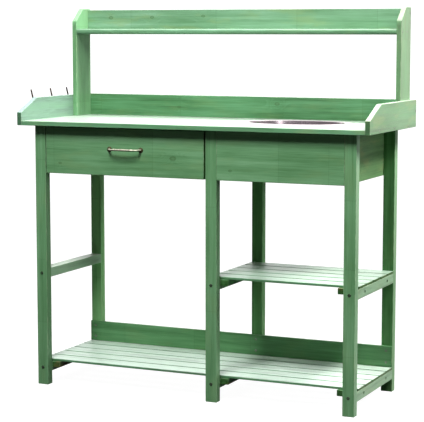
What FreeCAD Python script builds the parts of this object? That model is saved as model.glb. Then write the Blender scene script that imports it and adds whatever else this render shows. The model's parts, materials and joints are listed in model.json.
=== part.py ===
import FreeCAD, Part
import math
import os
import re

import Sketcher
from FreeCAD import Rotation, Vector

# A wooden potting bench: three leg frames carry a worktop with a drop-in oval basin, a drawer,
# two slatted shelves and a raised top shelf. Local measurements are taken from the bench's own
# datum: x from the middle of the worktop, y from the front faces of the legs, z from the floor.
# The document's origin is on the floor under the middle of the whole object's box.

doc = FreeCAD.newDocument("potting_bench")

# ---------------------------------------------------------------- driving dimensions, millimetres
SIZES = [
    ("bench_width", 1200, "over the two side panels"),
    ("bench_depth", 455, "worktop, front to back"),
    ("front_overhang", 28, "worktop in front of the legs"),
    ("worktop_thick", 15, ""),
    ("worktop_under", 854, "underside of the worktop, and the length of the legs"),
    ("board_thick", 16, "side panels and uprights"),
    ("edge_ease", 1.2, "rounding of every planed edge"),
    ("leg_spread", 1100, "over the outer legs"),
    ("leg_width", 38, "along x"),
    ("leg_depth", 28, "along y"),
    ("leg_stance", 398, "front face of the front legs to back face of the back legs"),
    ("middle_leg_left", 57.5, "left face of the middle legs from the middle of the worktop"),
    ("rail_height", 31, ""),
    ("low_rail_under", 42, "underside of the lower rails"),
    ("mid_rail_under", 355.5, "underside of the middle rails"),
    ("cleat_width", 28, ""),
    ("cleat_height", 19, ""),
    ("slat_width", 60, ""),
    ("slat_thick", 8, ""),
    ("slat_pitch", 68, ""),
    ("slat_first", 10, "gap between the front legs and the first slat"),
    ("rear_board_under", 81.3, "underside of the board behind the lower shelf"),
    ("rear_board_height", 69, ""),
    ("apron_under", 700, "underside of the aprons"),
    ("apron_thick", 15, ""),
    ("panel_height", 87, "side panels and upstand, from the worktop's underside"),
    ("panel_nose", 42, "height of a side panel's front edge"),
    ("panel_slope_run", 103, ""),
    ("upstand_thick", 18, ""),
    ("upright_depth", 98, ""),
    ("upright_top", 1232, "height of the whole bench"),
    ("upright_slope_run", 49, ""),
    ("upright_slope_rise", 43, ""),
    ("top_shelf_under", 1146, ""),
    ("top_shelf_thick", 18, ""),
    ("top_shelf_round", 7, "rounding of the top shelf's front edge"),
    ("backboard_top", 1228, ""),
    ("drawer_gap_left", 3, "between the drawer front and the left leg"),
    ("drawer_gap_right", 5.75, "between the drawer front and the middle leg"),
    ("drawer_front_height", 150, ""),
    ("drawer_front_lift", 0.5, "drawer front above the apron line"),
    ("drawer_side_thick", 12, ""),
    ("drawer_side_height", 110, ""),
    ("drawer_side_play", 2.5, "each side, between drawer side and apron"),
    ("drawer_side_under", 722, ""),
    ("drawer_back_gap", 0.8, "between the closed drawer and the back apron"),
    ("drawer_groove_up", 8, "groove for the drawer bottom, above the side's lower edge"),
    ("drawer_groove_deep", 6, ""),
    ("drawer_bottom_thick", 5, ""),
    ("drawer_bottom_play", 0.2, ""),
    ("drawer_front_play", 1, "between the drawer front and the ends of the aprons"),
    ("runner_width", 16, ""),
    ("runner_height", 17.5, ""),
    ("runner_under", 704, ""),
    ("basin_x", 268, "centre of the basin from the middle of the worktop"),
    ("basin_y", 230, "centre of the basin from the legs' front faces"),
    ("basin_long", 160, "half the bowl's mouth along x"),
    ("basin_short", 105, "half the bowl's mouth along y"),
    ("basin_deep", 118, ""),
    ("basin_wall", 1.5, ""),
    ("basin_rim", 27, "width of the flat rim on the worktop, along x"),
    ("basin_rim_thick", 1.5, ""),
    ("basin_floor", 99, "half the flat floor of the bowl along x"),
    ("basin_foot", 138, "half the bowl along x where its wall meets the curve of its floor"),
    ("basin_bend", 44, "height of the curve between floor and wall"),
    ("basin_drain", 18, "diameter"),
    ("basin_cutout_gap", 4, "between the bowl and the cut edge of the worktop, along x"),
    ("handle_span", 111, "between the handle's two feet"),
    ("handle_x", -221.5, "middle of the handle from the middle of the worktop"),
    ("handle_z", 784.5, ""),
    ("handle_reach", 25, "front of the handle from the drawer front"),
    ("handle_bar", 7.5, "diameter of the handle's bar"),
    ("handle_foot", 17, "diameter"),
    ("handle_foot_tall", 3.8, ""),
    ("handle_sunk", 3, "from the drawer front to where the bar rises from its feet"),
    ("handle_lean", 66, "degrees between the bar's two ends and the drawer front"),
    ("handle_arch", 8, "degrees between the drawer front and the ends of the arch"),
    ("handle_elbow", 10, "bend radius of the bar's middle line"),
    ("hook_rod", 5, "diameter"),
    ("hook_collar", 12, "diameter"),
    ("hook_collar_thick", 1.5, ""),
    ("hook_reach", 19, "tip of a hook from the side panel"),
    ("hook_lean", 14, "degrees from upright"),
    ("hook_bend", 6, "bend radius of the rod's middle line"),
    ("hook_shank_z", 920, ""),
    ("hook_tip_z", 966, ""),
    ("hook_first", 90, "first hook from the legs' front faces"),
    ("hook_pitch", 117, ""),
    ("hook_uneven", 8, "middle hook behind the halfway point of the other two"),
    ("bolt_shank", 6, "diameter"),
    ("bolt_hole", 6.6, "diameter"),
    ("bolt_head", 10, "diameter"),
    ("bolt_head_tall", 1.7, ""),
    ("bolt_socket", 4.6, "over the corners of the six-sided recess"),
    ("bolt_reach", 98, "length under the head"),
    ("bolt_play", 3, "between a bolt's end and the bottom of its hole"),
    ("nut_across", 10, "barrel nut diameter"),
    ("nut_hole", 10.3, "diameter"),
    ("nut_hole_deep", 30.4, ""),
    ("nut_length", 20, ""),
    ("nut_inset", 63, "barrel nut from the end of its rail"),
]

sheet = doc.addObject("Spreadsheet::Sheet", "Sizes")
for row, (alias, value, note) in enumerate(SIZES, start=1):
    sheet.set("A%d" % row, alias)
    sheet.set("B%d" % row, str(value))
    sheet.set("C%d" % row, note)
    sheet.setAlias("B%d" % row, alias)
doc.recompute()

# Positions of the datum in the document, as formulas of the sheet.
DATUM = ("hook_reach / 2", "front_overhang - bench_depth / 2", "0")

# Names that several formulas share.
OUTER = "leg_spread / 2"
INNER = "(leg_spread / 2 - leg_width)"
MIDDLE_RIGHT = "(middle_leg_left + leg_width)"
BACK_LEG = "(leg_stance - leg_depth)"
RAIL_LENGTH = "(leg_stance - 2 * leg_depth)"
BACK_EDGE = "(bench_depth - front_overhang)"
INSIDE = "(bench_width / 2 - board_thick)"
WORKTOP_TOP = "(worktop_under + worktop_thick)"
APRON_HEIGHT = "(worktop_under - apron_under)"
APRON_INSIDE = "(leg_spread / 2 - leg_width - apron_thick)"
BACK_APRON = "(leg_stance - leg_depth - apron_thick)"
BEHIND_FRONT = "(apron_thick + drawer_front_play)"

ROUGH = 20.0
subparts = []


def cells(formula):
    """Turn a formula of alias names into a FreeCAD expression."""
    return re.sub(r"[a-z][a-z_]+", lambda word: "Sizes." + word.group(), formula)


def size(alias):
    """A cell's number, for the few shapes made with Part's own functions."""
    return float(sheet.get(alias))


def datum():
    """The bench's datum in the document, for the shapes made with Part's own functions."""
    return Vector(size("hook_reach") / 2, size("front_overhang") - size("bench_depth") / 2, 0)


def place(item, across, back, up):
    """Bind an object's position, given from the bench's datum, to the sheet."""
    for way, formula, shift in zip("xyz", (across, back, up), DATUM):
        item.setExpression("Placement.Base." + way, cells("%s + %s" % (formula, shift)))


def origin_plane(body, role):
    """One of the body's own origin planes."""
    return [item for item in body.Origin.OriginFeatures if item.Role == role][0]


def blank_sketch(body, name, plane, offset=None):
    """An empty sketch on one of the body's planes, moved along the plane's normal by a formula."""
    sketch = body.newObject("Sketcher::SketchObject", name)
    sketch.AttachmentSupport = (origin_plane(body, plane), "")
    sketch.MapMode = "FlatFace"
    if offset:
        sketch.setExpression("AttachmentOffset.Base.z", cells(offset))
    return sketch


def hold(sketch, piece, point, way, formula, rough):
    """Fix one coordinate of a sketch point to a formula, or to the axis where it is zero."""
    if formula == "0":
        axis = -2 if way == "X" else -1
        sketch.addConstraint(Sketcher.Constraint("PointOnObject", piece, point, axis))
        return
    rule = Sketcher.Constraint("Distance" + way, -1, 1, piece, point, rough)
    index = sketch.addConstraint(rule)
    sketch.setExpression("Constraints[%d]" % index, cells(formula))


def polygon(body, plane, corners):
    """A closed outline whose corners are all given as formulas."""
    sketch = blank_sketch(body, body.Name + "_outline", plane)
    count = len(corners)
    turn = 2 * math.pi / count
    start = math.pi + turn / 2
    spots = [Vector(ROUGH * (2 + math.cos(start + turn * i)), ROUGH * (2 + math.sin(start + turn * i)), 0)
             for i in range(count)]
    for i in range(count):
        sketch.addGeometry(Part.LineSegment(spots[i], spots[(i + 1) % count]), False)
    for i in range(count):
        sketch.addConstraint(Sketcher.Constraint("Coincident", i, 2, (i + 1) % count, 1))
    for i, (across, up) in enumerate(corners):
        hold(sketch, i, 1, "X", across, spots[i].x)
        hold(sketch, i, 1, "Y", up, spots[i].y)
    return sketch


def padded(name, plane, corners, thickness, reverse=False):
    """A body made by padding an outline, with every edge eased."""
    body = doc.addObject("PartDesign::Body", name)
    sketch = polygon(body, plane, corners)
    pad = body.newObject("PartDesign::Pad", name + "_pad")
    pad.Profile = sketch
    pad.Reversed = reverse
    pad.setExpression("Length", cells(thickness))
    doc.recompute()
    ease = body.newObject("PartDesign::Fillet", name + "_ease")
    ease.Base = (pad, [""])
    ease.UseAllEdges = True
    ease.setExpression("Radius", cells("edge_ease"))
    doc.recompute()
    return body


def finish(item, label):
    """Give a finished sub-part its label and note it for the checks and the export."""
    item.Label = label
    subparts.append(item)
    return item


def board(name, along, position):
    """A planed board: its size along x, y and z, and its lowest corner, all as formulas."""
    wide, deep, tall = along
    corners = [("0", "0"), (wide, "0"), (wide, deep), ("0", deep)]
    body = padded(name, "XY_Plane", corners, tall)
    place(body, *position)
    return finish(body, name)


def drill(body, name, plane, offset, spots, across, depth, reverse):
    """Round holes into a body. A hole that cuts nothing is an error."""
    before = body.Shape.Volume
    sketch = blank_sketch(body, name + "_marks", plane, offset)
    for i, (along, up) in enumerate(spots):
        rough = Vector(ROUGH, ROUGH * (i + 1), 0)
        sketch.addGeometry(Part.Circle(rough, Vector(0, 0, 1), size(across) / 2), False)
        rule = sketch.addConstraint(Sketcher.Constraint("Diameter", i, size(across)))
        sketch.setExpression("Constraints[%d]" % rule, cells(across))
        hold(sketch, i, 3, "X", along, rough.x)
        hold(sketch, i, 3, "Y", up, rough.y)
    pocket = body.newObject("PartDesign::Pocket", name)
    pocket.Profile = sketch
    pocket.Reversed = reverse
    pocket.setExpression("Length", cells(depth))
    doc.recompute()
    if body.Shape.Volume > before - 1.0:
        raise RuntimeError("%s cuts nothing" % name)


def group(name, solids):
    """Identical fasteners share one node, as separate solids."""
    item = doc.addObject("Part::Feature", name)
    item.Shape = Part.makeCompound(solids)
    item.Placement.Base = datum()
    return finish(item, name)


def aimed(solid, spot, direction):
    """A copy of a fastener modelled along +z with its head at the origin, set at a spot."""
    piece = solid.copy()
    piece.Placement = FreeCAD.Placement(Vector(*spot), Rotation(Vector(0, 0, 1), Vector(*direction)))
    return piece


# ---------------------------------------------------------------- leg frames
LEFTS = {"left": "-" + OUTER, "middle": "middle_leg_left", "right": INNER}
LEVELS = {"low": "low_rail_under", "mid": "mid_rail_under"}
bolt_heights = ["(%s + rail_height / 2)" % LEVELS[level] for level in LEVELS]

for side, left in LEFTS.items():
    for row, near in (("front", "0"), ("back", BACK_LEG)):
        leg = board("leg_%s_%s" % (row, side), ("leg_width", "leg_depth", "worktop_under"),
                    (left, near, "0"))
        marks = [("leg_width / 2", height) for height in bolt_heights]
        drill(leg, leg.Name + "_bolt_holes", "XZ_Plane", None, marks, "bolt_hole", "leg_depth", False)

# A rail runs from the front leg to the back leg of its frame. A bolt goes into each end and
# meets a barrel nut in a cross hole, drilled from the rail's left face, or on the right frame
# from its right face.
for side, left in LEFTS.items():
    for level, under in LEVELS.items():
        rail = board("rail_%s_%s" % (level, side), ("leg_width", RAIL_LENGTH, "rail_height"),
                     (left, "leg_depth", under))
        bore = [("leg_width / 2", "rail_height / 2")]
        reach = "bolt_reach - leg_depth + bolt_play"
        drill(rail, rail.Name + "_front_bore", "XZ_Plane", None, bore, "bolt_hole", reach, False)
        drill(rail, rail.Name + "_back_bore", "XZ_Plane", "-" + RAIL_LENGTH, bore, "bolt_hole", reach, True)
        cross = [("nut_inset", "rail_height / 2"), (RAIL_LENGTH + " - nut_inset", "rail_height / 2")]
        from_right = side == "right"
        face = "leg_width" if from_right else None
        drill(rail, rail.Name + "_nut_holes", "YZ_Plane", face, cross, "nut_hole", "nut_hole_deep",
              not from_right)

# ---------------------------------------------------------------- aprons
board("apron_side_left", ("apron_thick", "leg_stance - " + BEHIND_FRONT, APRON_HEIGHT),
      ("-" + INNER, BEHIND_FRONT, "apron_under"))
board("apron_side_right", ("apron_thick", "leg_stance - apron_thick", APRON_HEIGHT),
      (APRON_INSIDE, "apron_thick", "apron_under"))
board("apron_divider", ("apron_thick", BACK_APRON + " - " + BEHIND_FRONT, APRON_HEIGHT),
      ("middle_leg_left - apron_thick", BEHIND_FRONT, "apron_under"))
board("apron_front", (INNER + " - " + MIDDLE_RIGHT, "apron_thick", APRON_HEIGHT),
      (MIDDLE_RIGHT, "0", "apron_under"))
board("apron_back", ("2 * " + APRON_INSIDE, "apron_thick", APRON_HEIGHT),
      ("-" + APRON_INSIDE, BACK_APRON, "apron_under"))

# ---------------------------------------------------------------- worktop and its surround
# The oval hole has the bowl's shape, a little larger.
blank = padded("worktop_blank", "XY_Plane",
               [("0", "0"), ("2 * " + INSIDE, "0"), ("2 * " + INSIDE, "bench_depth"), ("0", "bench_depth")],
               "worktop_thick")
place(blank, "-" + INSIDE, "-front_overhang", "worktop_under")
oval = doc.addObject("Part::Ellipse", "basin_hole_outline")
oval.setExpression("MajorRadius", cells("basin_long + basin_cutout_gap"))
oval.setExpression("MinorRadius", cells("basin_short + basin_cutout_gap"))
place(oval, "basin_x", "basin_y", "worktop_under - worktop_thick")
plug = doc.addObject("Part::Extrusion", "basin_hole")
plug.Base = oval
plug.DirMode = "Custom"
plug.Dir = Vector(0, 0, 1)
plug.setExpression("LengthFwd", cells("3 * worktop_thick"))
plug.Solid = True
worktop = doc.addObject("Part::Cut", "worktop")
worktop.Base = blank
worktop.Tool = plug
finish(worktop, "worktop")

panel_outline = [
    ("0", "0"),
    ("bench_depth", "0"),
    ("bench_depth", "panel_height"),
    ("panel_slope_run", "panel_height"),
    ("0", "panel_nose"),
]
for side, left in (("left", "-bench_width / 2"), ("right", INSIDE)):
    panel = padded("side_panel_" + side, "YZ_Plane", panel_outline, "board_thick")
    place(panel, left, "-front_overhang", "worktop_under")
    finish(panel, "side_panel_" + side)

board("upstand", ("2 * " + INSIDE, "upstand_thick", "panel_height - worktop_thick"),
      ("-" + INSIDE, BACK_EDGE + " - upstand_thick", WORKTOP_TOP))

# ---------------------------------------------------------------- uprights and top shelf
UPRIGHT_HEIGHT = "(upright_top - worktop_under - worktop_thick)"
UPRIGHT_BACK = "(bench_depth - front_overhang - upstand_thick)"
SHELF_LEFT = "-(bench_width / 2 - 2 * board_thick)"
SHELF_WIDTH = "(bench_width - 4 * board_thick)"
upright_outline = [
    ("0", "0"),
    ("upright_depth", "0"),
    ("upright_depth", UPRIGHT_HEIGHT),
    ("upright_slope_run", UPRIGHT_HEIGHT),
    ("0", UPRIGHT_HEIGHT + " - upright_slope_rise"),
]
for side, left in (("left", "-" + INSIDE), ("right", INSIDE + " - board_thick")):
    upright = padded("upright_" + side, "YZ_Plane", upright_outline, "board_thick")
    place(upright, left, UPRIGHT_BACK + " - upright_depth", WORKTOP_TOP)
    finish(upright, "upright_" + side)


def top_shelf():
    """The top shelf: a board whose two front edges are rounded over."""
    body = doc.addObject("PartDesign::Body", "top_shelf")
    deep = "(upright_depth - board_thick)"
    corners = [("0", "0"), (deep, "0"), (deep, "top_shelf_thick"), ("0", "top_shelf_thick")]
    sketch = polygon(body, "YZ_Plane", corners)
    pad = body.newObject("PartDesign::Pad", "top_shelf_pad")
    pad.Profile = sketch
    pad.setExpression("Length", cells(SHELF_WIDTH))
    doc.recompute()
    names = ["Edge%d" % (i + 1) for i, edge in enumerate(pad.Shape.Edges)
             if edge.BoundBox.YMax < 0.01 and edge.BoundBox.XLength > 1.0]
    bullnose = body.newObject("PartDesign::Fillet", "top_shelf_bullnose")
    bullnose.Base = (pad, names)
    bullnose.setExpression("Radius", cells("top_shelf_round"))
    place(body, SHELF_LEFT, UPRIGHT_BACK + " - upright_depth", "top_shelf_under")
    finish(body, "top_shelf")


top_shelf()
board("top_backboard", (SHELF_WIDTH, "board_thick", "backboard_top - top_shelf_under"),
      (SHELF_LEFT, UPRIGHT_BACK + " - board_thick", "top_shelf_under"))

# ---------------------------------------------------------------- slatted shelves
SLATS = 5
SHELVES = (
    ("mid_shelf", "middle_leg_left", OUTER + " - middle_leg_left", "mid_rail_under"),
    ("low_shelf", "-" + OUTER, "leg_spread", "low_rail_under"),
)
for shelf, left, length, under in SHELVES:
    for i in range(SLATS):
        board("%s_slat_%d" % (shelf, i + 1), (length, "slat_width", "slat_thick"),
              (left, "leg_depth + slat_first + %d * slat_pitch" % i, under + " + rail_height"))

CLEATS = (
    ("mid_shelf_cleat_left", MIDDLE_RIGHT, "mid_rail_under"),
    ("mid_shelf_cleat_right", INNER + " - cleat_width", "mid_rail_under"),
    ("low_shelf_cleat_left", "-" + INNER, "low_rail_under"),
    ("low_shelf_cleat_middle", MIDDLE_RIGHT, "low_rail_under"),
    ("low_shelf_cleat_right", INNER + " - cleat_width", "low_rail_under"),
)
for name, left, under in CLEATS:
    board(name, ("cleat_width", RAIL_LENGTH, "cleat_height"),
          (left, "leg_depth", under + " + rail_height - cleat_height"))

board("rear_board", ("leg_spread", "slat_thick", "rear_board_height"),
      ("-" + OUTER, BACK_LEG + " - slat_thick", "rear_board_under"))

# ---------------------------------------------------------------- drawer
# The drawer slides on two runners under its sides, between the left apron and the divider, and
# stops against the back apron.
BOX_LEFT = "(-%s + drawer_side_play)" % APRON_INSIDE
BOX_RIGHT = "(middle_leg_left - apron_thick - drawer_side_play)"
BOX_DEEP = "(%s - drawer_back_gap - apron_thick)" % BACK_APRON
GROOVE_TOP = "drawer_groove_up + drawer_bottom_thick + 2 * drawer_bottom_play"
GROOVE_FLOOR = "(drawer_side_thick - drawer_groove_deep)"

RUNNERS = (
    ("drawer_runner_left", "-" + APRON_INSIDE),
    ("drawer_runner_right", "middle_leg_left - apron_thick - runner_width"),
)
for name, left in RUNNERS:
    board(name, ("runner_width", BACK_APRON + " - " + BEHIND_FRONT, "runner_height"),
          (left, BEHIND_FRONT, "runner_under"))
FRONT_WIDTH = "(middle_leg_left + %s - drawer_gap_left - drawer_gap_right)" % INNER
board("drawer_front", (FRONT_WIDTH, "apron_thick", "drawer_front_height"),
      ("-%s + drawer_gap_left" % INNER, "0", "apron_under + drawer_front_lift"))

groove_on_right = [
    ("0", "0"),
    ("drawer_side_thick", "0"),
    ("drawer_side_thick", "drawer_groove_up"),
    (GROOVE_FLOOR, "drawer_groove_up"),
    (GROOVE_FLOOR, GROOVE_TOP),
    ("drawer_side_thick", GROOVE_TOP),
    ("drawer_side_thick", "drawer_side_height"),
    ("0", "drawer_side_height"),
]
groove_on_left = [
    ("0", "0"),
    ("drawer_side_thick", "0"),
    ("drawer_side_thick", "drawer_side_height"),
    ("0", "drawer_side_height"),
    ("0", GROOVE_TOP),
    ("drawer_groove_deep", GROOVE_TOP),
    ("drawer_groove_deep", "drawer_groove_up"),
    ("0", "drawer_groove_up"),
]


def drawer_side(name, profile, left):
    """A drawer side: its grooved profile runs the whole depth of the drawer."""
    body = doc.addObject("PartDesign::Body", name)
    sketch = polygon(body, "XZ_Plane", profile)
    pad = body.newObject("PartDesign::Pad", name + "_pad")
    pad.Profile = sketch
    pad.Reversed = True
    pad.setExpression("Length", cells(BOX_DEEP))
    place(body, left, "apron_thick", "drawer_side_under")
    finish(body, name)


drawer_side("drawer_side_left", groove_on_right, BOX_LEFT)
drawer_side("drawer_side_right", groove_on_left, BOX_RIGHT + " - drawer_side_thick")
INNER_BOX = "(%s - %s - 2 * drawer_side_thick)" % (BOX_RIGHT, BOX_LEFT)
board("drawer_back", (INNER_BOX, "drawer_side_thick", "drawer_side_height - (%s)" % GROOVE_TOP),
      (BOX_LEFT + " + drawer_side_thick", "apron_thick + %s - drawer_side_thick" % BOX_DEEP,
       "drawer_side_under + " + GROOVE_TOP))
bottom = doc.addObject("Part::Box", "drawer_bottom")
bottom.setExpression("Length", cells(INNER_BOX + " + 2 * drawer_groove_deep - 2 * drawer_bottom_play"))
bottom.setExpression("Width", cells(BOX_DEEP))
bottom.setExpression("Height", cells("drawer_bottom_thick"))
place(bottom, BOX_LEFT + " + %s + drawer_bottom_play" % GROOVE_FLOOR, "apron_thick",
      "drawer_side_under + drawer_groove_up + drawer_bottom_play")
finish(bottom, "drawer_bottom")


def turned(points):
    """A solid turned about the z axis from a half outline of (radius, height) points."""
    outline = [Vector(radius, 0, height) for radius, height in points]
    face = Part.Face(Part.makePolygon(outline + [outline[0]]))
    return face.revolve(Vector(0, 0, 0), Vector(0, 0, 1), 360)


def handle():
    """A bow handle: a rod leans in from each stepped round foot, turns an elbow and runs on
    across as a shallow arch. Its middle line is walked from the left foot to the middle."""
    half = size("handle_span") / 2
    reach = size("handle_reach") - size("handle_bar") / 2
    elbow = size("handle_elbow")
    lean = math.radians(size("handle_lean"))
    arch = math.radians(size("handle_arch"))
    elbow_across = elbow * (math.sin(lean) - math.sin(arch))
    elbow_out = elbow * (math.cos(arch) - math.cos(lean))
    flat = math.tan(arch / 2)
    straight = (reach - size("handle_sunk") - elbow_out - (half - elbow_across) * flat) / (
        math.sin(lean) - math.cos(lean) * flat)

    def walk(spot, angle, length):
        return spot + Vector(length * math.cos(angle), -length * math.sin(angle), 0)

    def mirrored(spot):
        return Vector(-spot.x, spot.y, 0)

    root = Vector(-half, -size("handle_sunk"), 0)
    elbow_in = walk(root, lean, straight)
    elbow_end = elbow_in + Vector(elbow_across, -elbow_out, 0)
    turn = (lean - arch) / 2
    elbow_mid = walk(elbow_in, lean - turn / 2, 2 * elbow * math.sin(turn / 2))
    top = Vector(0, -reach, 0)
    path = Part.Wire([
        Part.makeLine(root, elbow_in),
        Part.Arc(elbow_in, elbow_mid, elbow_end).toShape(),
        Part.Arc(elbow_end, top, mirrored(elbow_end)).toShape(),
        Part.Arc(mirrored(elbow_end), mirrored(elbow_mid), mirrored(elbow_in)).toShape(),
        Part.makeLine(mirrored(elbow_in), mirrored(root)),
    ])
    section = Part.Wire([Part.makeCircle(size("handle_bar") / 2, root, walk(Vector(), lean, 1))])
    rod = path.makePipeShell([section], True, True)
    wide, tall = size("handle_foot") / 2, size("handle_foot_tall")
    foot = turned([(0, 0), (wide, 0), (wide, tall * 0.42), (wide * 0.73, tall * 0.68),
                   (wide * 0.66, tall), (0, tall)])
    feet = [aimed(foot, (x, 0, 0), (0, -1, 0)) for x in (-half, half)]
    item = doc.addObject("Part::Feature", "drawer_handle")
    item.Shape = rod.fuse(feet).removeSplitter()
    item.Placement.Base = datum() + Vector(size("handle_x"), 0, size("handle_z"))
    finish(item, "drawer_handle")


handle()


# ---------------------------------------------------------------- basin
def oval_stack(rings):
    """A solid through level ellipses of the basin's proportions, each given as (half its
    length along x, height)."""
    squeeze = size("basin_short") / size("basin_long")
    wires = []
    for half, height in rings:
        ring = Part.Ellipse(Vector(0, 0, height), half, half * squeeze)
        wires.append(Part.Wire([ring.toShape()]))
    return Part.makeLoft(wires, True, True)


def bowl_rings(floor, foot, under):
    """Rings of the curve that leads from a flat floor to a wall."""
    steps = 5
    angles = [math.pi / 2 * i / steps for i in range(steps + 1)]
    return [(floor + (foot - floor) * math.sin(t), under + size("basin_bend") * (1 - math.cos(t)))
            for t in angles]


def basin():
    """An oval drop-in bowl: a skin between two stacks of ellipses, hung from a flat rim whose
    edges are rounded in two steps, with a drain hole in its floor."""
    mouth = size("basin_long")
    wall = size("basin_wall")
    deep = size("basin_deep")
    thick = size("basin_rim_thick")
    rim = mouth + size("basin_rim")
    floor = size("basin_floor")
    foot = size("basin_foot")
    clear = 1
    outside = bowl_rings(floor, foot + wall, -deep) + [(mouth + wall, 0), (mouth + wall, thick / 2)]
    flange = [(rim, 0), (rim - thick * 0.3, thick * 0.7), (rim - thick, thick)]
    inside = bowl_rings(floor, foot, -deep + wall) + [
        (mouth, 0), (mouth + thick * 0.4, thick * 0.75), (mouth + thick * 1.4, thick),
        (mouth + thick * 1.4, thick + clear)]
    shape = oval_stack(outside).fuse(oval_stack(flange)).cut(oval_stack(inside))
    drain = Part.makeCylinder(size("basin_drain") / 2, wall + 2 * clear, Vector(0, 0, -deep - clear))
    item = doc.addObject("Part::Feature", "sink_basin")
    item.Shape = shape.cut(drain)
    top = size("worktop_under") + size("worktop_thick")
    item.Placement.Base = datum() + Vector(size("basin_x"), size("basin_y"), top)
    finish(item, "sink_basin")


basin()


# ---------------------------------------------------------------- hooks
def tool_hooks():
    """Three rods screwed into the left side panel that bend up and lean outwards."""
    rod = size("hook_rod") / 2
    lean = math.radians(size("hook_lean"))
    rise = size("hook_tip_z") - rod - size("hook_shank_z")
    out = size("hook_reach") - rod - rise * math.tan(lean)
    up = Vector(-math.sin(lean), 0, math.cos(lean))
    reach = size("hook_bend") * math.tan((math.pi / 2 - lean) / 2)
    corner = Vector(-out, 0, 0)
    bend_in = corner + Vector(reach, 0, 0)
    bend_out = corner + up * reach
    inward = (Vector(1, 0, 0) + up).normalize()
    gap = math.hypot(size("hook_bend"), reach) - size("hook_bend")
    tip = corner + up * (rise / math.cos(lean))
    root = Vector(size("board_thick") * 0.75, 0, 0)
    path = Part.Wire([
        Part.makeLine(root, bend_in),
        Part.Arc(bend_in, corner + inward * gap, bend_out).toShape(),
        Part.makeLine(bend_out, tip),
    ])
    section = Part.Wire([Part.makeCircle(rod, root, Vector(1, 0, 0))])
    bar = path.makePipeShell([section], True, True)
    ball = Part.makeSphere(rod, tip)
    rim = size("hook_collar_thick")
    collar = Part.makeCylinder(size("hook_collar") / 2, rim, Vector(-rim, 0, 0), Vector(1, 0, 0))
    hook = bar.fuse([ball, collar]).removeSplitter()
    face = -size("bench_width") / 2
    hooks = []
    for spot in (0, size("hook_pitch") + size("hook_uneven"), 2 * size("hook_pitch")):
        one = hook.copy()
        one.translate(Vector(face, size("hook_first") + spot, size("hook_shank_z")))
        hooks.append(one)
    group("tool_hooks", hooks)


tool_hooks()


# ---------------------------------------------------------------- fasteners
def wood_screw(length, across):
    """A countersunk wood screw along +z, its flat head at the origin, with a cross recess."""
    shank = across / 2
    body = turned([(0, 0), (across, 0), (across, across * 0.1), (shank, across * 0.85),
                   (shank, length - across), (0, length)])
    slot_long, slot_wide, slot_deep = across * 1.1, across * 0.2, across * 0.55
    for angle in (0, 90):
        slot = Part.makeBox(slot_long, slot_wide, slot_deep, Vector(-slot_long / 2, -slot_wide / 2, 0))
        slot.rotate(Vector(0, 0, 0), Vector(0, 0, 1), angle)
        body = body.cut(slot)
    return body


def leg_centres():
    """The middle of each frame's legs across x."""
    half = size("leg_spread") / 2 - size("leg_width") / 2
    return (-half, size("middle_leg_left") + size("leg_width") / 2, half)


def frame_bolts():
    """Bolts through the legs into the rail ends, and the barrel nuts that they meet."""
    shank = size("bolt_shank") / 2
    head = size("bolt_head") / 2
    dome = size("bolt_head_tall")
    bolt = turned([(0, -dome), (head * 0.55, -dome * 0.94), (head * 0.9, -dome * 0.6), (head, -dome * 0.2),
                   (head, 0), (shank, 0), (shank, size("bolt_reach")), (0, size("bolt_reach"))])
    hexagon = [Rotation(Vector(0, 0, 1), 60 * i).multVec(Vector(size("bolt_socket") / 2, 0, -dome))
               for i in range(6)]
    bolt = bolt.cut(Part.Face(Part.makePolygon(hexagon + [hexagon[0]])).extrude(Vector(0, 0, dome * 1.4)))
    across = size("nut_across")
    nut = Part.makeCylinder(across / 2, size("nut_length"))
    slot_long, slot_wide, slot_deep = across * 0.8, across * 0.14, across * 0.16
    slot = Part.makeBox(slot_long, slot_wide, slot_deep, Vector(-slot_long / 2, -slot_wide / 2, 0))
    middle = Vector(0, 0, size("nut_length") / 2)
    thread_play = 0.05
    thread = Part.makeCylinder(shank + thread_play, 2 * across, middle - Vector(0, across, 0),
                               Vector(0, 1, 0))
    nut = nut.cut(slot).cut(thread)
    bolts = []
    nuts = []
    stance = size("leg_stance")
    inset = size("leg_depth") + size("nut_inset")
    for x in leg_centres():
        away = -1 if x == max(leg_centres()) else 1
        nut_x = x - away * size("nut_length") / 2
        for under in ("low_rail_under", "mid_rail_under"):
            z = size(under) + size("rail_height") / 2
            bolts.append(aimed(bolt, (x, 0, z), (0, 1, 0)))
            bolts.append(aimed(bolt, (x, stance, z), (0, -1, 0)))
            for y in (inset, stance - inset):
                nuts.append(aimed(nut, (nut_x, y, z), (away, 0, 0)))
    group("frame_bolts", bolts)
    group("barrel_nuts", nuts)


frame_bolts()

outer = size("leg_spread") / 2
inner = outer - size("leg_width")
apron_face = inner - size("apron_thick")
middle_left = size("middle_leg_left")
middle_right = middle_left + size("leg_width")
back_leg = size("leg_stance") - size("leg_depth")
front_leg_mid = size("leg_depth") / 2
worktop_top = size("worktop_under") + size("worktop_thick")
panel_face = size("bench_width") / 2
upright_face = panel_face - size("board_thick")
upright_back = size("bench_depth") - size("front_overhang") - size("upstand_thick")

# Two screws in each back leg hold the board behind the lower shelf.
rear_screw = wood_screw(30, 4)
board_mid = size("rear_board_under") + size("rear_board_height") / 2
rear_face = back_leg - size("slat_thick")
group("rear_board_screws", [aimed(rear_screw, (x, rear_face, board_mid + dz), (0, 1, 0))
                            for x in leg_centres() for dz in (-19, 19)])

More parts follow.
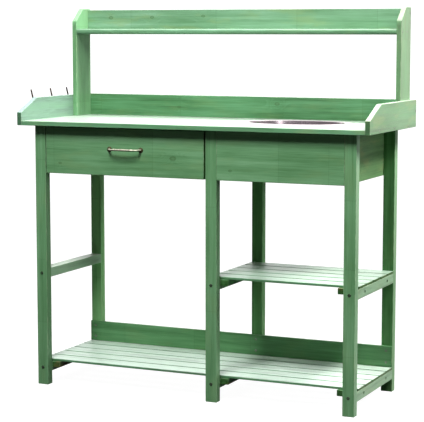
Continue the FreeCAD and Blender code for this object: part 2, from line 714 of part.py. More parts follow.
# Screws come up through the cleats into every slat.
shelf_screw = wood_screw(24, 3.5)
shelf_screws = []
for under, cleats in (("mid_rail_under", (middle_right, inner - size("cleat_width"))),
                      ("low_rail_under", (-inner, middle_right, inner - size("cleat_width")))):
    z = size(under) + size("rail_height") - size("cleat_height")
    for left in cleats:
        for i in range(SLATS):
            y = size("leg_depth") + size("slat_first") + i * size("slat_pitch") + size("slat_width") / 2
            shelf_screws.append(aimed(shelf_screw, (left + size("cleat_width") / 2, y, z), (0, 0, 1)))
group("shelf_screws", shelf_screws)

# The aprons are screwed to the legs from inside. Slanting screws, sunk below the surface, hold
# the ends that meet a leg or another apron square on.
apron_screw = wood_screw(32, 4)
slant_angle = math.radians(12)
along, out = math.cos(slant_angle), math.sin(slant_angle)
from_end = 18
thick = size("apron_thick")
front_pocket = thick - 4
back_pocket = back_leg - front_pocket
in_front_leg = size("leg_depth") - 6
in_back_leg = size("leg_stance") - front_leg_mid
apron_screws = []
for z in (size("apron_under") + 35, size("worktop_under") - 34):
    placed = [
        ((middle_left - thick, in_front_leg), (1, 0)),
        ((middle_right + from_end, front_pocket), (-along, -out)),
        ((inner - from_end, front_pocket), (along, -out)),
        ((from_end - apron_face, back_pocket), (-along, out)),
        ((apron_face - from_end, back_pocket), (along, out)),
        ((middle_left + size("leg_width") / 2, back_leg - thick), (0, 1)),
    ]
    for y in (in_front_leg, in_back_leg):
        placed += [((-apron_face, y), (-1, 0)), ((apron_face, y), (1, 0))]
    apron_screws += [aimed(apron_screw, spot + (z,), way + (0,)) for spot, way in placed]
group("apron_screws", apron_screws)

# Screws through the worktop into the leg tops, and through the side panels into the worktop
# and the upstand.
worktop_screw = wood_screw(40, 4)
upstand_mid = (worktop_top + size("worktop_under") + size("panel_height")) / 2
worktop_screws = [aimed(worktop_screw, (x, y, worktop_top), (0, 0, -1))
                  for x in leg_centres() for y in (front_leg_mid, in_back_leg)]
for way in (-1, 1):
    for y in (60, 205, 350):
        spot = (way * panel_face, y, worktop_top - size("worktop_thick") / 2)
        worktop_screws.append(aimed(worktop_screw, spot, (-way, 0, 0)))
    spot = (way * panel_face, upright_back + size("upstand_thick") / 2, upstand_mid)
    worktop_screws.append(aimed(worktop_screw, spot, (-way, 0, 0)))
group("worktop_screws", worktop_screws)

# Screws through the uprights into the top shelf and its backboard, and through the upstand
# into the backs of the uprights.
upper_screws = []
shelf_mid = size("top_shelf_under") + size("top_shelf_thick") / 2
upright_mid = upright_face - size("board_thick") / 2
for way in (-1, 1):
    for y, z in ((upright_back - 84, shelf_mid), (upright_back - 40, shelf_mid),
                 (upright_back - 8, shelf_mid + 28), (upright_back - 8, shelf_mid + 58)):
        upper_screws.append(aimed(worktop_screw, (way * upright_face, y, z), (-way, 0, 0)))
    for z in (worktop_top + 20, worktop_top + 54):
        spot = (way * upright_mid, upright_back + size("upstand_thick"), z)
        upper_screws.append(aimed(worktop_screw, spot, (0, -1, 0)))
group("upper_screws", upper_screws)

# The drawer's sides are screwed to its back, and to its front from inside on a slant.
drawer_screw = wood_screw(28, 3.5)
box_left = -apron_face + size("drawer_side_play")
box_right = middle_left - size("apron_thick") - size("drawer_side_play")
box_back = back_leg - thick - size("drawer_back_gap")
side_thick = size("drawer_side_thick")
drawer_screws = []
for z in (size("drawer_side_under") + 40, size("drawer_side_under") + 85):
    for x, way in ((box_left, 1), (box_right, -1)):
        drawer_screws.append(aimed(drawer_screw, (x, box_back - side_thick / 2, z), (way, 0, 0)))
        spot = (x + way * side_thick, 2 * thick, z)
        drawer_screws.append(aimed(drawer_screw, spot, (-way * 0.34, -0.94, 0)))
group("drawer_screws", drawer_screws)

# Machine screws go through the drawer front into the handle's feet.
screw_end = thick + 2.5
handle_screw = turned([(0, -2.2), (2.6, -2.0), (3.8, -1.0), (4, 0), (2, 0), (2, screw_end), (0, screw_end)])
half = size("handle_span") / 2
group("handle_screws", [aimed(handle_screw, (x, thick, size("handle_z")), (0, -1, 0))
                        for x in (size("handle_x") - half, size("handle_x") + half)])

# ---------------------------------------------------------------- checks and export
doc.recompute()
for item in doc.Objects:
    if "Invalid" in item.State or "Error" in item.State:
        raise RuntimeError("%s failed: %s" % (item.Name, item.State))
for item in subparts:
    if item.Shape.isNull() or not item.Shape.isValid():
        raise RuntimeError("%s has no valid shape" % item.Label)

os.makedirs("parts", exist_ok=True)
for item in subparts:
    item.Shape.exportStep("parts/%s.step" % item.Label)

box = FreeCAD.BoundBox()
for item in subparts:
    box.add(item.Shape.BoundBox)
print("%d sub-parts, box %s" % (len(subparts), box))
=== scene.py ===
import json
import math
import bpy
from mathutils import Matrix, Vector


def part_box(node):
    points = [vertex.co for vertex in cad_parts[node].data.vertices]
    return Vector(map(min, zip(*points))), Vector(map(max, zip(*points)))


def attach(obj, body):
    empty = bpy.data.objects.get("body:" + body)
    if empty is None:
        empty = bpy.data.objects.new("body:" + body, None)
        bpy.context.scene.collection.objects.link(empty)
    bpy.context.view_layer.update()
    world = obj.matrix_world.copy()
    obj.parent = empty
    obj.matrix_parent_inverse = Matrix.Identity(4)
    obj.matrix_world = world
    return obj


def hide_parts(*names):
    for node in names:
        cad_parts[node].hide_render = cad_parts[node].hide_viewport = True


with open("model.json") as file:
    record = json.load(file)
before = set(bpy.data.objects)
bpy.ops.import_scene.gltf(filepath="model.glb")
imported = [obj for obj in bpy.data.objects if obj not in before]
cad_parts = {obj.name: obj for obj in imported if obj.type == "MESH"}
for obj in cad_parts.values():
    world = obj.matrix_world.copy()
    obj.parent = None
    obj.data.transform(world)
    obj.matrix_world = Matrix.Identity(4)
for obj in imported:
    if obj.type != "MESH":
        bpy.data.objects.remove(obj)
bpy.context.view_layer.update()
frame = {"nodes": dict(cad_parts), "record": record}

import zlib

import bmesh
import bpy
from mathutils import Vector, noise

# A green-stained wooden potting bench. The CAD gives every size and place. The boards, the basin,
# the handle and the hooks are rebuilt here as finer meshes in the same space, and every surface
# gets a procedural material. Lengths are metres in the frame of the CAD.

NODES = frame["nodes"]
MM = 0.001
TURN = 2 * math.pi


def seed_of(name):
    """A fixed number between 0 and 1 from a name."""
    return zlib.crc32(name.encode()) % 9973 / 9973


# ---------------------------------------------------------------- camera
# It looks at the bench from about 24 degrees to the right of the front and 7 degrees above.
camera = bpy.data.objects.new("camera", bpy.data.cameras.new("camera"))
bpy.context.scene.collection.objects.link(camera)
bpy.context.scene.camera = camera
camera.location = (2.0685, -4.5523, 1.1631)
target = Vector((-0.0004, -0.0009, 0.579))
camera.rotation_mode = "QUATERNION"
camera.rotation_quaternion = (target - camera.location).to_track_quat("-Z", "Y")
camera.data.sensor_width = 36
camera.data.lens = 132.17
camera.data.clip_start = 0.1
camera.data.clip_end = 60


# ---------------------------------------------------------------- light
BENCH_MIDDLE = Vector((0, 0, 0.6))
WARM = (1.0, 0.975, 0.95)


def softbox(name, azimuth, elevation, distance, width, power, colour=(1, 1, 1), lights=True, mirrors=True):
    """A square area light that faces the bench. Azimuth 0 is in front of it and 90 on its right.
    Without lights it shows in reflections only, and without mirrors it never shows in them."""
    light = bpy.data.lights.new(name, "AREA")
    light.shape = "SQUARE"
    light.size = width
    light.energy = power
    light.color = colour
    lamp = bpy.data.objects.new(name, light)
    a, e = math.radians(azimuth), math.radians(elevation)
    way = Vector((math.sin(a) * math.cos(e), -math.cos(a) * math.cos(e), math.sin(e)))
    lamp.visible_diffuse = lights
    lamp.visible_glossy = mirrors
    lamp.location = BENCH_MIDDLE + way * distance
    lamp.rotation_mode = "QUATERNION"
    lamp.rotation_quaternion = (-way).to_track_quat("-Z", "Y")
    bpy.context.scene.collection.objects.link(lamp)


softbox("light_overhead", 0, 88, 3.2, 2.2, 52)
softbox("light_front", 0, 54, 3.6, 1.15, 153, mirrors=False)
softbox("light_front_right", 52, 48, 3.6, 1.0, 10, mirrors=False)
softbox("card_front", 31, 32, 3.4, 0.5, 2.4, lights=False)
softbox("card_high", 16, 60, 3.0, 2.4, 80, lights=False)
softbox("light_right", 93, 50, 3.4, 1.0, 196, WARM)
softbox("light_right_low", 91, 12, 3.8, 0.9, 24, mirrors=False)
softbox("light_back", 200, 40, 4.0, 2.0, 55)

# The studio walls. The camera sees them white all round. For reflections they are bright behind
# the bench and dim in front of it and on its right, and they add little plain light, since that
# comes from the softboxes.
WALLS_SEEN = 1.2
WALLS_LIGHT = 0.04
WALLS_FRONT, WALLS_BACK = 0.25, 1.35
BACK_WAY = (-0.42, 0.9, 0.12)
world = bpy.data.worlds.new("studio")
bpy.context.scene.world = world
world.use_nodes = True
tree = world.node_tree
tree.nodes.clear()
walls = tree.nodes.new("ShaderNodeBackground")
walls.inputs["Color"].default_value = (1, 1, 1, 1)
facing = tree.nodes.new("ShaderNodeVectorMath")
facing.operation = "DOT_PRODUCT"
facing.inputs[1].default_value = BACK_WAY
side = tree.nodes.new("ShaderNodeTexCoord")
mirrored = tree.nodes.new("ShaderNodeMapRange")
mirrored.interpolation_type = "SMOOTHSTEP"
for socket, value in zip(mirrored.inputs[1:], (0.2, 0.95, WALLS_FRONT, WALLS_BACK)):
    socket.default_value = value
ray = tree.nodes.new("ShaderNodeLightPath")
unseen = tree.nodes.new("ShaderNodeMix")
unseen.inputs["B"].default_value = WALLS_LIGHT
seen = tree.nodes.new("ShaderNodeMix")
seen.inputs["B"].default_value = WALLS_SEEN
output = tree.nodes.new("ShaderNodeOutputWorld")
tree.links.new(side.outputs["Generated"], facing.inputs[0])
tree.links.new(facing.outputs["Value"], mirrored.inputs[0])
tree.links.new(ray.outputs["Is Diffuse Ray"], unseen.inputs["Factor"])
tree.links.new(mirrored.outputs[0], unseen.inputs["A"])
tree.links.new(ray.outputs["Is Camera Ray"], seen.inputs["Factor"])
tree.links.new(unseen.outputs[0], seen.inputs["A"])
tree.links.new(seen.outputs[0], walls.inputs["Strength"])
tree.links.new(walls.outputs[0], output.inputs["Surface"])
bpy.context.scene.view_settings.view_transform = "Standard"


# ---------------------------------------------------------------- material helpers
class Look:
    """A material's node tree, with short calls for the nodes that the looks are made of."""

    def __init__(self, name):
        self.material = bpy.data.materials.new(name)
        self.material.use_nodes = True
        self.tree = self.material.node_tree
        self.tree.nodes.clear()
        output = self.tree.nodes.new("ShaderNodeOutputMaterial")
        self.shader = self.tree.nodes.new("ShaderNodeBsdfPrincipled")
        self.tree.links.new(self.shader.outputs["BSDF"], output.inputs["Surface"])
        self.where = self.tree.nodes.new("ShaderNodeTexCoord")

    def put(self, socket, value):
        if isinstance(value, bpy.types.NodeSocket):
            self.tree.links.new(value, socket)
        elif socket.type == "RGBA" and len(value) == 3:
            socket.default_value = (*value, 1)
        else:
            socket.default_value = value

    def math(self, operation, *values, clamp=False):
        node = self.tree.nodes.new("ShaderNodeMath")
        node.operation = operation
        node.use_clamp = clamp
        for socket, value in zip(node.inputs, values):
            self.put(socket, value)
        return node.outputs[0]

    def total(self, start, *terms):
        """start plus each (socket - middle) * gain of the terms."""
        result = start
        for socket, middle, gain in terms:
            result = self.math("MULTIPLY_ADD", self.math("SUBTRACT", socket, middle), gain, result)
        return result

    def vector(self, operation, *values):
        node = self.tree.nodes.new("ShaderNodeVectorMath")
        node.operation = operation
        for socket, value in zip(node.inputs, values):
            self.put(socket, value)
        return node.outputs["Value"] if operation in ("LENGTH", "DOT_PRODUCT") else node.outputs["Vector"]

    def split(self, vector):
        node = self.tree.nodes.new("ShaderNodeSeparateXYZ")
        self.put(node.inputs[0], vector)
        return node.outputs

    def join(self, *values):
        node = self.tree.nodes.new("ShaderNodeCombineXYZ")
        for socket, value in zip(node.inputs, values):
            self.put(socket, value)
        return node.outputs[0]

    def noise(self, vector, scale=1.0, detail=2.0, roughness=0.5):
        node = self.tree.nodes.new("ShaderNodeTexNoise")
        self.put(node.inputs["Vector"], vector)
        node.inputs["Scale"].default_value = scale
        node.inputs["Detail"].default_value = detail
        node.inputs["Roughness"].default_value = roughness
        return node.outputs["Fac"]

    def smooth(self, value, low, high, start=0.0, end=1.0):
        """A soft step from start to end as value goes from low to high."""
        node = self.tree.nodes.new("ShaderNodeMapRange")
        node.interpolation_type = "SMOOTHSTEP"
        for socket, item in zip(node.inputs, (value, low, high, start, end)):
            self.put(socket, item)
        return node.outputs[0]

    def ramp(self, value, stops):
        node = self.tree.nodes.new("ShaderNodeValToRGB")
        self.put(node.inputs[0], value)
        marks = node.color_ramp.elements
        while len(marks) < len(stops):
            marks.new(1)
        for mark, (spot, colour) in zip(marks, stops):
            mark.position = spot
            mark.color = (*colour, 1)
        return node.outputs[0]

    def mix(self, factor, first, second, blend="MIX"):
        node = self.tree.nodes.new("ShaderNodeMix")
        node.data_type = "RGBA"
        node.blend_type = blend
        self.put(node.inputs["Factor"], factor)
        self.put([s for s in node.inputs if s.name == "A" and s.type == "RGBA"][0], first)
        self.put([s for s in node.inputs if s.name == "B" and s.type == "RGBA"][0], second)
        return [s for s in node.outputs if s.type == "RGBA"][0]

    def bump(self, height, strength, distance):
        node = self.tree.nodes.new("ShaderNodeBump")
        node.inputs["Strength"].default_value = strength
        node.inputs["Distance"].default_value = distance
        self.put(node.inputs["Height"], height)
        self.put(self.shader.inputs["Normal"], node.outputs[0])

    def cells(self, along, scale, feature="F1"):
        node = self.tree.nodes.new("ShaderNodeTexVoronoi")
        node.voronoi_dimensions = "1D"
        node.feature = feature
        self.put(node.inputs["W"], along)
        node.inputs["Scale"].default_value = scale
        return node.outputs


# ---------------------------------------------------------------- wood
GREEN = [
    (0.0, (0.040, 0.125, 0.038)),
    (0.3, (0.096, 0.245, 0.100)),
    (0.55, (0.146, 0.335, 0.158)),
    (0.8, (0.215, 0.430, 0.232)),
    (1.0, (0.330, 0.560, 0.345)),
]
RUBBED_GREEN = (0.47, 0.56, 0.38)
PINE = [
    (0.0, (0.330, 0.175, 0.065)),
    (0.4, (0.520, 0.330, 0.150)),
    (0.7, (0.640, 0.450, 0.240)),
    (1.0, (0.740, 0.570, 0.350)),
]
RUBBED_PINE = (0.66, 0.50, 0.31)
RING_WIDTH = 0.0031
BLOCKS_PER_METRE = 3.4
FINGER_WIDTH, FINGER_STEEPNESS = 0.002, 3.0
PALE_GREY = (0.62, 0.70, 0.62)


class Board(Look):
    """The look of one board, with the board's own coordinates from its middle: along the grain,
    across its wide side, and deep through it."""

    def __init__(self, name, low, high, grain):
        super().__init__(name)
        self.seed = seed_of(name)
        self.grain = grain
        self.half = (high - low) / 2
        centre = tuple((low + high) / 2)
        wide, narrow = sorted((i for i in range(3) if i != grain), key=lambda i: -self.half[i])
        self.spots = self.split(self.vector("SUBTRACT", self.where.outputs["Object"], centre))
        self.along, self.across, self.deep = self.spots[grain], self.spots[wide], self.spots[narrow]
        self.normal = self.split(self.where.outputs["Normal"])

    def stretched(self, run, side, shift):
        """The board's coordinates, scaled to run cells a metre along it and side across."""
        return self.join(self.math("MULTIPLY_ADD", self.along, run, self.seed * 91 + shift),
                         self.math("MULTIPLY_ADD", self.across, side, self.seed * 37 + shift),
                         self.math("MULTIPLY_ADD", self.deep, side, shift))

    def joints(self):
        """Finger joints: three random numbers for each block, and the glue lines between blocks."""
        finger = self.math("PINGPONG", self.deep, FINGER_WIDTH)
        place = self.math("MULTIPLY_ADD", finger, FINGER_STEEPNESS, self.along)
        place = self.math("ADD", place, self.seed * 23)
        block = self.split(self.cells(place, BLOCKS_PER_METRE)["Color"])
        gap = self.cells(place, BLOCKS_PER_METRE, "DISTANCE_TO_EDGE")["Distance"]
        return block, self.smooth(gap, 0.0, 0.004, 1.0, 0.0)

    def knots(self, knots):
        """How far the rings swell about the knots, the knots' faces, and their dark rims."""
        bend = faces = rims = 0.0
        for u, v, radius in knots:
            du = self.math("MULTIPLY", self.math("SUBTRACT", self.along, u), 0.62)
            dv = self.math("SUBTRACT", self.across, v)
            ragged = self.noise(self.stretched(90, 90, u * 7), 1.0, 2.0)
            square = self.math("ADD", self.math("MULTIPLY", du, du), self.math("MULTIPLY", dv, dv))
            far = self.math("MULTIPLY_ADD", ragged, radius * 0.5, self.math("POWER", square, 0.5))
            far = self.math("DIVIDE", far, radius)
            inside = self.smooth(far, 0.95, 1.35, 1.0, 0.0)
            rim = self.math("MULTIPLY", inside, self.smooth(far, 0.55, 1.0))
            swell = self.math("EXPONENT", self.math("MULTIPLY", self.math("MULTIPLY", far, far), -0.16))
            bend = self.math("MULTIPLY_ADD", swell, 5.0, bend)
            faces = self.math("MAXIMUM", faces, inside)
            rims = self.math("MAXIMUM", rims, rim)
        return bend, faces, rims

    def late_wood(self, block, bend):
        """The dark line at the end of each growth ring. The pith is outside the board, in a place
        of its own for each block."""
        warp = self.noise(self.stretched(2.3, 13, 3.1), 1.0, 2.0)
        off = self.math("MULTIPLY_ADD", self.math("SUBTRACT", block[1], 0.5), 0.07, self.across)
        off = self.math("MULTIPLY_ADD", self.math("SUBTRACT", warp, 0.5), 0.022, off)
        away = self.math("ADD", self.math("MULTIPLY_ADD", block[2], 0.05, 0.018), self.deep)
        from_pith = self.vector("LENGTH", self.join(off, away, 0.0))
        wobble = self.math("MULTIPLY", warp, 2.0)
        phase = self.math("ADD", self.math("MULTIPLY_ADD", from_pith, 1 / RING_WIDTH, wobble), bend)
        ring = self.math("FRACT", phase)
        return self.math("MULTIPLY", self.math("POWER", ring, 2.4), self.smooth(ring, 0.93, 1.0, 1.0, 0.0))

    def edges(self):
        """The board's edges, with a ragged limit. A point near an edge is near two faces at once,
        so the middle one of its three distances is small."""
        gaps = [self.math("SUBTRACT", self.half[i], self.math("ABSOLUTE", self.spots[i])) for i in range(3)]
        middle = self.math("MAXIMUM", self.math("MINIMUM", gaps[0], gaps[1]),
                           self.math("MINIMUM", self.math("MAXIMUM", gaps[0], gaps[1]), gaps[2]))
        rub = self.noise(self.stretched(30, 60, 41.0), 1.0, 3.0, 0.6)
        return self.smooth(self.math("MULTIPLY_ADD", rub, 0.0048, middle), 0.0022, 0.0036, 1.0, 0.0)


def wood(name, low, high, grain, colours=GREEN, level=0.5, knots=(), olive=0.12, blocks=0.07, worn=0.45,
         thin=(0.250, 0.330, 0.120), wash=0.0, top_fade_and_light=0.0, right=0.0, pale=PALE_GREY, gap_shade=0.0,
         tint=(1, 1, 1), end_tint=(0.42, 0.52, 0.30), contrast=1.25, gloss=0.4):
    """Softwood cut from a round log, with its grain along one axis of the board's box. The rings
    are circles about a pith outside the board, so faces and ends show what a real cut shows. A
    board is finger-jointed from blocks, each from another place in the log.

    level       how light the stain is, from 0 to 1, and contrast how much it varies
    knots       (along, across, radius) of each, from the board's middle
    olive       how much of the wood shows through in patches of the colour thin
    blocks      how much the blocks differ
    worn        how far the edges are rubbed
    wash        how far the stain has faded to pale all over; bleach how much paler the faces
                that look up are, partly faded stain and partly painted light from above; and
                right how much paler the faces that look to the right are, as painted light
    grime       painted shade on the faces that look up, for the shaded gaps between the slats
    tint        multiplies the stain, and end_tint the ends of the board
    gloss       specular level"""
    look = Board(name, low, high, grain)
    block, seam = look.joints()
    bend, knot_faces, knot_rims = look.knots(knots)
    late = look.late_wood(block, bend)
    streak = look.noise(look.stretched(2.6, 70, 11.0), 1.0, 3.0, 0.55)
    fibre = look.noise(look.stretched(16, 640, 5.0), 1.0, 2.0, 0.6)
    blotch = look.noise(look.stretched(3.2, 11, 17.0), 1.0, 3.0, 0.55)

    shade = look.total(level, (streak, 0.5, 0.65 * contrast), (fibre, 0.5, 0.35 * contrast),
                       (blotch, 0.5, 0.40 * contrast), (late, 0.25, -0.12), (block[0], 0.5, blocks))
    colour = look.mix(1.0, look.ramp(shade, colours), tint, "MULTIPLY")
    bare = look.noise(look.stretched(7, 22, 29.0), 1.0, 4.0, 0.6)
    bare = look.math("MULTIPLY", look.smooth(bare, 0.50, 0.66), olive)
    colour = look.mix(bare, colour, thin)
    colour = look.mix(look.math("MULTIPLY", seam, 0.35), colour, (0.05, 0.12, 0.04))
    if knots:
        colour = look.mix(look.math("MULTIPLY", knot_faces, 0.35), colour, (0.065, 0.150, 0.050))
        colour = look.mix(look.math("MULTIPLY", knot_rims, 0.35), colour, (0.035, 0.070, 0.022))

    # Paling: wash fades the stain all over. The paling of the faces that look up is partly faded stain and
    # partly painted light from above, and that of the faces that look right is painted light from the
    # right.
    if wash or top_fade_and_light or right:
        paling_and_light = look.total(wash, (look.smooth(look.normal[2], 0.3, 0.8), 0.0, top_fade_and_light),
                           (look.smooth(look.normal[0], 0.3, 0.8), 0.0, right),
                           (streak, 0.5, -0.9 * wash - 1.1 * top_fade_and_light), (fibre, 0.5, -0.5 * top_fade_and_light))
        lines = look.math("ADD", look.math("MULTIPLY", streak, 0.5), look.math("MULTIPLY", fibre, 0.5))
        paler = look.mix(look.smooth(lines, 0.40, 0.52), tuple(0.62 * part for part in pale), pale)
        colour = look.mix(look.math("MAXIMUM", paling_and_light, 0.0, clamp=True), colour, paler)
    end = look.smooth(look.math("ABSOLUTE", look.normal[grain]), 0.8, 0.95)
    colour = look.mix(look.math("MULTIPLY", end, 0.8), colour, end_tint, "MULTIPLY")
    # Painted shade: the faces that look up are darkened, for the shaded gaps between the slats where the
    # rails' tops show.
    if gap_shade:
        gap_shade_mask = look.math("MULTIPLY", look.smooth(look.normal[2], 0.6, 0.9), gap_shade)
        colour = look.mix(gap_shade_mask, colour, (0.020, 0.026, 0.012))
    rubbed = RUBBED_GREEN if colours is GREEN else RUBBED_PINE
    colour = look.mix(look.math("MULTIPLY", look.edges(), worn), colour, rubbed)

    look.put(look.shader.inputs["Base Color"], colour)
    look.shader.inputs["Specular IOR Level"].default_value = gloss
    look.put(look.shader.inputs["Roughness"], look.total(0.42, (fibre, 0.5, 0.3), (streak, 0.5, 0.15)))
    height = look.total(0.5, (fibre, 0.5, 0.6), (late, 0.25, 0.30), (streak, 0.5, 0.35), (seam, 0.0, -0.4))
    look.bump(height, 0.55, 0.0005)
    return look.material


# ---------------------------------------------------------------- metals
def metal(name, colour, dark, rough, scale, wear, metallic=1.0, dent=0.0001, face=None, rim=None):
    """A worked metal: tarnish in clouds, and fine marks. face is the y of the board it stands on:
    the tarnish is thick next to that board, and the underside is darkened as painted shade. Above
    the height rim the metal is matt, as a brushed rim is."""
    look = Look(name)
    place = look.where.outputs["Object"]
    y, z = look.split(place)[1:3]
    cloud = look.noise(place, scale * 0.12, 4.0, 0.6)
    marks = look.noise(place, scale, 3.0, 0.65)
    stain = look.math("MULTIPLY", look.smooth(cloud, 0.42, 0.66), wear)
    if face is not None:
        deep = look.smooth(y, face - 0.0065, face - 0.0035)
        # Painted shade: the faces that look down are darkened like the tarnish.
        under = look.smooth(look.split(look.where.outputs["Normal"])[2], -0.3, 0.3, 1.0, 0.0)
        stain = look.math("MAXIMUM", stain, look.math("MAXIMUM", deep, under))
    look.put(look.shader.inputs["Base Color"], look.mix(stain, colour, dark))
    look.shader.inputs["Metallic"].default_value = metallic
    rough = look.total(rough, (cloud, 0.5, 0.3), (marks, 0.5, 0.25))
    if rim is not None:
        brushed = look.smooth(z, rim, rim + 0.0012)
        rough = look.total(rough, (brushed, 0.0, 0.3))
        look.put(look.shader.inputs["Metallic"], look.total(metallic, (brushed, 0.0, -0.55)))
    look.put(look.shader.inputs["Roughness"], rough)
    if dent:
        look.bump(marks, 0.4, dent)
    return look.material


# The steel's mauve tint is painted reflection: it stands for the mauve that the bowl reflects from its
# surroundings.
STEEL = metal("look_steel", (0.60, 0.51, 0.55), (0.42, 0.34, 0.38), 0.20, 40, wear=0.5, dent=0.0,
              rim=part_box("worktop")[1].z)
BRASS = metal("look_brass", (0.86, 0.83, 0.66), (0.085, 0.075, 0.035), 0.28, 600, wear=0.2, metallic=0.5,
              face=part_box("drawer_handle")[1].y)
BRONZE = metal("look_bronze", (0.045, 0.035, 0.028), (0.12, 0.075, 0.045), 0.45, 500, wear=0.4)
# Screw and bolt heads are darker than bare metal: partly their own dull finish, partly painted shade of the
# holes they sit in.
ZINC = metal("look_zinc", (0.34, 0.34, 0.31), (0.10, 0.09, 0.07), 0.38, 700, wear=0.6)
BOLT = metal("look_bolt", (0.085, 0.10, 0.075), (0.030, 0.040, 0.026), 0.40, 700, wear=0.6)


# ---------------------------------------------------------------- mesh helpers
BODY_OF = {node: body for body, nodes in frame["record"]["behaviour"]["bodies"].items() for node in nodes}
SLOT_OF = {item["node"]: item["material_slot"] for item in frame["record"]["subparts"]}


def stand_in(name, mesh, material, *nodes):
    """Show a mesh in the place of CAD nodes: same body, same material slot."""
    mesh.materials.clear()
    mesh.materials.append(material)
    mesh.shade_smooth()
    mesh.set_sharp_from_angle(angle=math.radians(38))
    piece = bpy.data.objects.new(name, mesh)
    bpy.context.scene.collection.objects.link(piece)
    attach(piece, BODY_OF[nodes[0]])
    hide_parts(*nodes)


def skin(rings, closed_ends=True, loop=False):
    """Faces between rings of points that all have the same count. A loop joins the last to the first."""
    count = len(rings[0])
    points = [point for ring in rings for point in ring]
    faces = []
    for i in range(len(rings) if loop else len(rings) - 1):
        here, there = i * count, (i + 1) % len(rings) * count
        for k in range(count):
            faces.append((here + k, here + (k + 1) % count, there + (k + 1) % count, there + k))
    if closed_ends and not loop:
        faces.append(tuple(reversed(range(count))))
        faces.append(tuple(range(len(points) - count, len(points))))
    return points, faces


def as_mesh(name, *shells):
    """One mesh of several closed shells, with every face looking outwards."""
    points, faces = [], []
    for shell_points, shell_faces in shells:
        start = len(points)
        points += shell_points
        faces += [tuple(start + i for i in face) for face in shell_faces]
    mesh = bpy.data.meshes.new(name)
    mesh.from_pydata([tuple(p) for p in points], [], faces)
    made = bmesh.new()
    made.from_mesh(mesh)
    bmesh.ops.recalc_face_normals(made, faces=made.faces)
    made.to_mesh(mesh)
    made.free()
    return mesh


def lathe(outline, centre, axis, turns, narrow=None):
    """A closed skin turned about an axis from (radius, height) points. narrow(radius) scales the
    second direction, for an oval."""
    axis = Vector(axis).normalized()
    first = axis.orthogonal().normalized() if abs(axis.z) < 0.9 else Vector((1, 0, 0))
    second = axis.cross(first)
    on_axis = [outline[0][0] < 1e-9, outline[-1][0] < 1e-9]
    inner = outline[1 if on_axis[0] else 0:-1 if on_axis[1] else None]
    rings = []
    for radius, height in inner:
        squeeze = narrow(radius) if narrow else 1.0
        rings.append([Vector(centre) + axis * height
                      + first * (radius * math.cos(TURN * k / turns))
                      + second * (radius * squeeze * math.sin(TURN * k / turns)) for k in range(turns)])
    points, faces = skin(rings, closed_ends=False, loop=not any(on_axis))
    last_ring = len(points) - turns
    for at_axis, start, spot in zip(on_axis, (0, last_ring), (outline[0], outline[-1])):
        if at_axis:
            points.append(Vector(centre) + axis * spot[1])
            faces += [(len(points) - 1, start + (k + 1) % turns, start + k) for k in range(turns)]
    return points, faces


def tube(path, radii, side, turns):
    """A round bar along a path that lies in one plane, whose normal is side."""
    rings = []
    for i, spot in enumerate(path):
        way = (path[min(i + 1, len(path) - 1)] - path[max(i - 1, 0)]).normalized()
        other = way.cross(side)
        angles = [TURN * k / turns for k in range(turns)]
        rings.append([spot + (side * math.cos(a) + other * math.sin(a)) * radii[i] for a in angles])
    return skin(rings)


def carve(mesh, cutter):
    """Cut one mesh out of another."""
    board = bpy.data.objects.new("board", mesh)
    tool = bpy.data.objects.new("tool", cutter)
    for item in (board, tool):
        bpy.context.scene.collection.objects.link(item)
    cut = board.modifiers.new("cut", "BOOLEAN")
    cut.operation = "DIFFERENCE"
    cut.solver = "EXACT"
    cut.object = tool
    result = bpy.data.meshes.new_from_object(board.evaluated_get(bpy.context.evaluated_depsgraph_get()))
    for item in (board, tool):
        bpy.data.objects.remove(item)
    result.name = mesh.name
    return result


# ---------------------------------------------------------------- boards
GRAIN = {"leg": 2, "upright": 2, "side_panel": 1, "apron_side": 1, "apron_divider": 1, "rail": 1,
         "cleat": 1, "runner": 1, "drawer_side": 1}

# How far apart a board's points lie along its grain and across it, and how near to a rounded
# edge the first of them is, so that the flat faces stay flat.
STEP_ALONG = 0.014
STEP_ACROSS = 0.011
SUPPORT = 0.0008
CREASE_WIDTH = 0.0012
END_ROUND = 1.0 * MM
RELIEF = 0.22 * MM

# How uneven a board is: how often its edges' rounding changes along the grain, and how much; the
# same for the nicks in them, in millimetres; and how close the hollows in its faces are.
WANDERS_PER_METRE, WANDER = 17, 0.35
NICKS_PER_METRE, NICK_FROM, NICK_DEEP = 55, 0.42, 2.4
LEAST_ROUND = 0.25 * MM
HOLLOWS_ALONG, HOLLOWS_ACROSS = 9, 75

# What the CAD says of the shaped boards.
EDGE = 1.3
SHELF_NOSE = 6.8
PANEL_NOSE = 0.042
PANEL_SLOPE_TALL, PANEL_SLOPE_LONG = 0.045, 0.103
UPRIGHT_CUT_TALL, UPRIGHT_CUT_DEEP = 0.043, 0.049
NUT_HOLE_RADIUS, NUT_HOLE_DEEP, NUT_HOLE_FROM_END = 0.00515, 0.0304, 0.063
BASIN_HOLE_LONG, BASIN_HOLE_WIDE = 0.164, 0.109


def grain_of(node):
    """The axis that a board's grain runs along."""
    return next((axis for part, axis in GRAIN.items() if part in node), 0)


